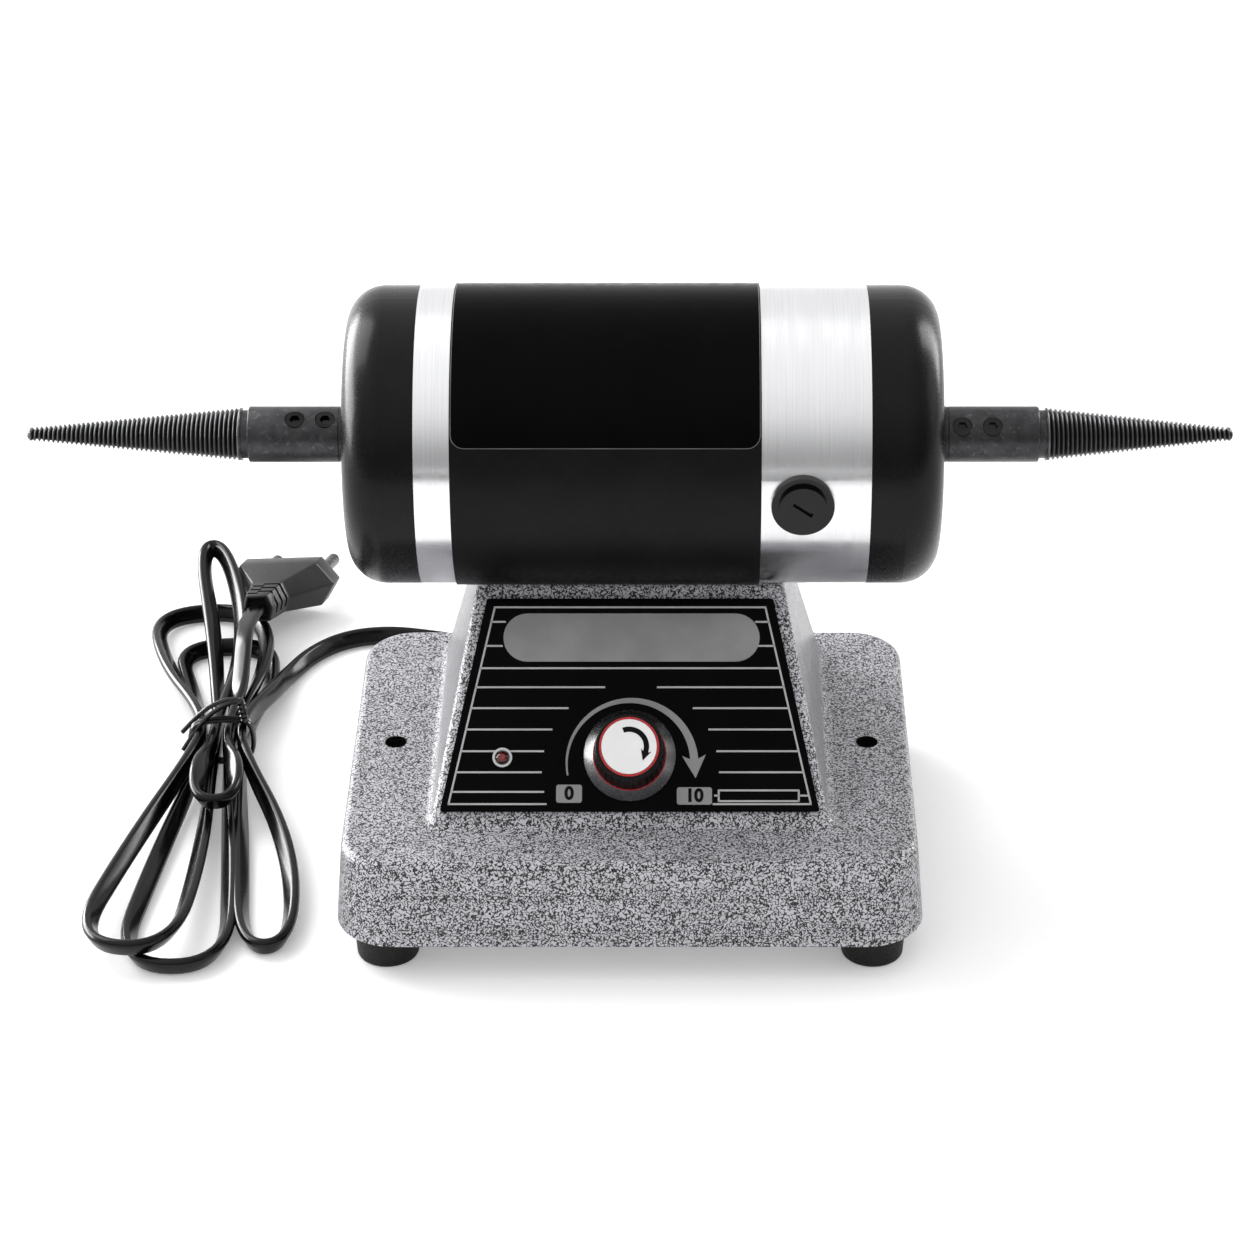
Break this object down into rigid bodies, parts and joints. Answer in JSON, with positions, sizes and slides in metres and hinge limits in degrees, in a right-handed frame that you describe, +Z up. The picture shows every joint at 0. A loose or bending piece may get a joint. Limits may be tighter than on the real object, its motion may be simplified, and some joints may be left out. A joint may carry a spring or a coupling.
{
  "type": "bench buffer",
  "caption": "Variable-speed bench buffer: round motor with tapered threaded spindles at both ends on a cast pedestal base with speed knob, lamp and tied power cord.",
  "frame": {"origin": "on the floor under the middle of the base, which is also midway between the spindle tips", "axes": "+X along the spindles to the right, +Y to the back, +Z up; the control panel faces -Y"},
  "size_m": [0.324, 0.2233, 0.1635],
  "materials": {
    "hammertone": "hammered grey enamel",
    "cover_steel": "plain zinc-plated sheet",
    "foot_rubber": "matt black",
    "fastener_steel": "zinc-plated",
    "panel_plastic": "gloss black with silver print",
    "lamp_metal": "bright",
    "lamp_glass": "clear with a red core",
    "pot_metal": "plain",
    "knob_metal": "turned, satin",
    "knob_plastic": "ribbed, matt black",
    "knob_red": "gloss red",
    "knob_white": "gloss white",
    "board_green": "coated board",
    "sink_aluminium": "plain extrusion",
    "capacitor_plastic": "sleeved can",
    "standoff_brass": "plain",
    "tube_steel": "bright, brushed round the tube",
    "band_label": "gloss black",
    "cap_black": "satin black",
    "bearing_steel": "ground",
    "magnet_ferrite": "matt ferrite",
    "core_steel": "laminated",
    "winding_copper": "enamelled copper",
    "brush_carbon": "carbon",
    "brush_plastic": "moulded black",
    "spindle_steel": "black oxide",
    "cord_plastic": "satin black",
    "plug_plastic": "moulded black",
    "pin_metal": "nickel-plated",
    "tie_wire": "coated wire"
  },
  "bodies": {
    "base": {"base_casting": "hammertone", "bottom_cover": "cover_steel", "foot_front_left": "foot_rubber", "foot_front_right": "foot_rubber", "foot_back_left": "foot_rubber", "foot_back_right": "foot_rubber", "foot_screws": "fastener_steel", "motor_screws": "fastener_steel", "control_panel": "panel_plastic", "lamp_bezel": "lamp_metal", "lamp_lens": "lamp_glass", "pot_body": "pot_metal", "pot_nut": "pot_metal", "board_standoffs": "standoff_brass", "control_board": "board_green", "heat_sink": "sink_aluminium", "capacitor": "capacitor_plastic", "motor_tube": "tube_steel", "motor_band": "band_label", "end_cap_left": "cap_black", "end_cap_right": "cap_black", "bearing_outer_left": "bearing_steel", "bearing_outer_right": "bearing_steel", "magnet_front": "magnet_ferrite", "magnet_back": "magnet_ferrite", "brush_holder_front": "brush_plastic", "brush_holder_back": "brush_plastic", "carbon_brush_front": "brush_carbon", "carbon_brush_back": "brush_carbon", "brush_spring_front": "fastener_steel", "brush_spring_back": "fastener_steel", "brush_cap_front": "brush_plastic", "brush_cap_back": "brush_plastic", "strain_relief": "cord_plastic", "cord_lead": "cord_plastic", "cord_hank": "cord_plastic", "plug_lead": "cord_plastic", "cord_tie": "tie_wire", "plug_body": "plug_plastic", "plug_pins": "pin_metal"},
    "rotor": {"motor_shaft": "fastener_steel", "armature_core": "core_steel", "armature_windings": "winding_copper", "commutator": "winding_copper", "bearing_inner_left": "bearing_steel", "bearing_inner_right": "bearing_steel", "bearing_balls_left": "bearing_steel", "bearing_balls_right": "bearing_steel", "spindle_left": "spindle_steel", "spindle_right": "spindle_steel", "set_screws_left": "spindle_steel", "set_screws_right": "spindle_steel"},
    "knob": {"knob_skirt": "knob_metal", "knob_body": "knob_plastic", "knob_ring": "knob_red", "knob_cap": "knob_white", "pot_shaft": "pot_metal"}
  },
  "joints": [
    {"name": "rotor_spin", "type": "hinge", "parent": "base", "child": "rotor", "pos_m": [0, 0.015, 0.123], "axis": [1, 0, 0], "continuous": true},
    {"name": "knob_turn", "type": "hinge", "parent": "base", "child": "knob", "pos_m": [0, -0.03144, 0.04979], "axis": [0, -0.7547, 0.6561], "range_deg": [-280, 0]}
  ]
}
